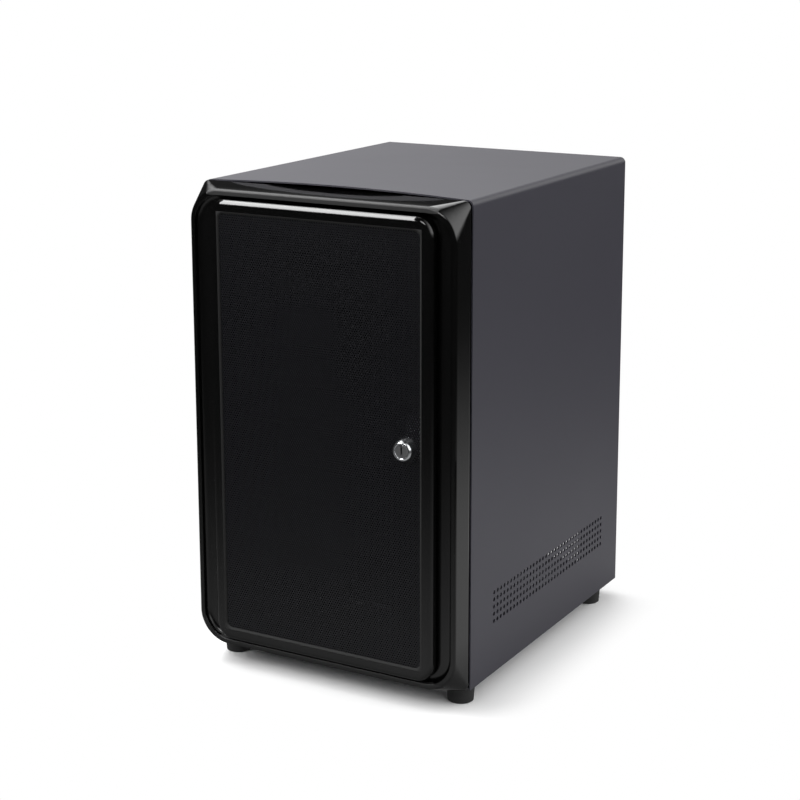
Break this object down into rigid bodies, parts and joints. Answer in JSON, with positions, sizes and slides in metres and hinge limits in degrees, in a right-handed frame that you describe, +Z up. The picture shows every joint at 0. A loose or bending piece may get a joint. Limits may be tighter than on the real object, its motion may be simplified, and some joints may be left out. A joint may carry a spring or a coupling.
{
  "type": "mini itx pc case",
  "caption": "Upright black computer case: folded steel cover with a side vent, glossy moulded front with a lockable mesh door, drive trays and board bay inside, rubber feet.",
  "frame": {"origin": "centre of the footprint, on the surface that the feet stand on", "axes": "+Z up; the front with the door faces -Y; +X is the side with the vent"},
  "size_m": [0.2, 0.2714, 0.3354],
  "materials": {
    "powder_coated_steel": "fine satin powder coat",
    "gloss_black_abs": "high gloss moulded",
    "black_mesh_steel": "perforated, semi matt black",
    "chromed_zinc": "polished",
    "nickel_brass": "nickel plated, turned",
    "zinc_plated_steel": "bright zinc plated",
    "galvanised_steel": "galvanised sheet",
    "matt_black_abs": "fine moulded texture",
    "grey_abs": "fine moulded texture",
    "black_pbt": "moulded",
    "black_nylon": "moulded",
    "circuit_board": "solder mask",
    "clear_acrylic": "polished light pipe",
    "brass": "turned",
    "black_zinc_screw": "black zinc plated",
    "black_rubber": "moulded, matt"
  },
  "bodies": {
    "chassis": {"outer_cover": "powder_coated_steel", "base_tray": "galvanised_steel", "front_panel": "galvanised_steel", "rear_panel": "powder_coated_steel", "mid_shelf": "galvanised_steel", "drive_cage": "galvanised_steel", "drive_backplane": "circuit_board", "backplane_connectors": "black_nylon", "rubber_foot_1": "black_rubber", "rubber_foot_2": "black_rubber", "rubber_foot_3": "black_rubber", "rubber_foot_4": "black_rubber", "foot_screws": "zinc_plated_steel", "board_standoffs": "brass", "supply_bracket": "galvanised_steel", "slot_cover": "zinc_plated_steel", "slot_screw": "black_zinc_screw", "cover_screws": "black_zinc_screw", "bezel_screws": "zinc_plated_steel", "cage_screws": "zinc_plated_steel", "fan_frame": "black_pbt", "fan_screws": "black_zinc_screw", "front_bezel": "gloss_black_abs", "control_panel": "matt_black_abs", "button_board": "circuit_board", "button_switches": "black_nylon", "usb_ports": "zinc_plated_steel", "led_lenses": "clear_acrylic", "drive_tray_1": "matt_black_abs", "tray_lever_1": "grey_abs", "drive_tray_2": "matt_black_abs", "tray_lever_2": "grey_abs", "drive_tray_3": "matt_black_abs", "tray_lever_3": "grey_abs", "drive_tray_4": "matt_black_abs", "tray_lever_4": "grey_abs", "drive_tray_5": "matt_black_abs", "tray_lever_5": "grey_abs", "drive_tray_6": "matt_black_abs", "tray_lever_6": "grey_abs", "drive_tray_7": "matt_black_abs", "tray_lever_7": "grey_abs", "drive_tray_8": "matt_black_abs", "tray_lever_8": "grey_abs"},
    "door": {"door_frame": "gloss_black_abs", "door_mesh": "black_mesh_steel", "door_hinge_pins": "zinc_plated_steel", "lock_body": "chromed_zinc", "lock_nut": "nickel_brass"},
    "lock": {"lock_plug": "nickel_brass", "lock_cam": "zinc_plated_steel", "cam_screw": "zinc_plated_steel"},
    "power_button": {"power_button": "matt_black_abs"},
    "reset_button": {"reset_button": "matt_black_abs"},
    "fan_rotor": {"fan_rotor": "black_pbt"}
  },
  "joints": [
    {"name": "door_hinge", "type": "hinge", "parent": "chassis", "child": "door", "pos_m": [-0.081, -0.128, 0.1723], "axis": [0, 0, -1], "range_deg": [0, 100]},
    {"name": "lock_turn", "type": "hinge", "parent": "door", "child": "lock", "pos_m": [0.064, -0.1303, 0.1749], "axis": [0, 1, 0], "range_deg": [0, 90]},
    {"name": "power_button_press", "type": "slide", "parent": "chassis", "child": "power_button", "axis": [0, 1, 0], "range_m": [0, 0.0015], "stiffness_N_per_m": 400},
    {"name": "reset_button_press", "type": "slide", "parent": "chassis", "child": "reset_button", "axis": [0, 1, 0], "range_m": [0, 0.0015], "stiffness_N_per_m": 300},
    {"name": "fan_spin", "type": "hinge", "parent": "chassis", "child": "fan_rotor", "pos_m": [-0.01, 0.1188, 0.2037], "axis": [0, 1, 0], "continuous": true}
  ]
}
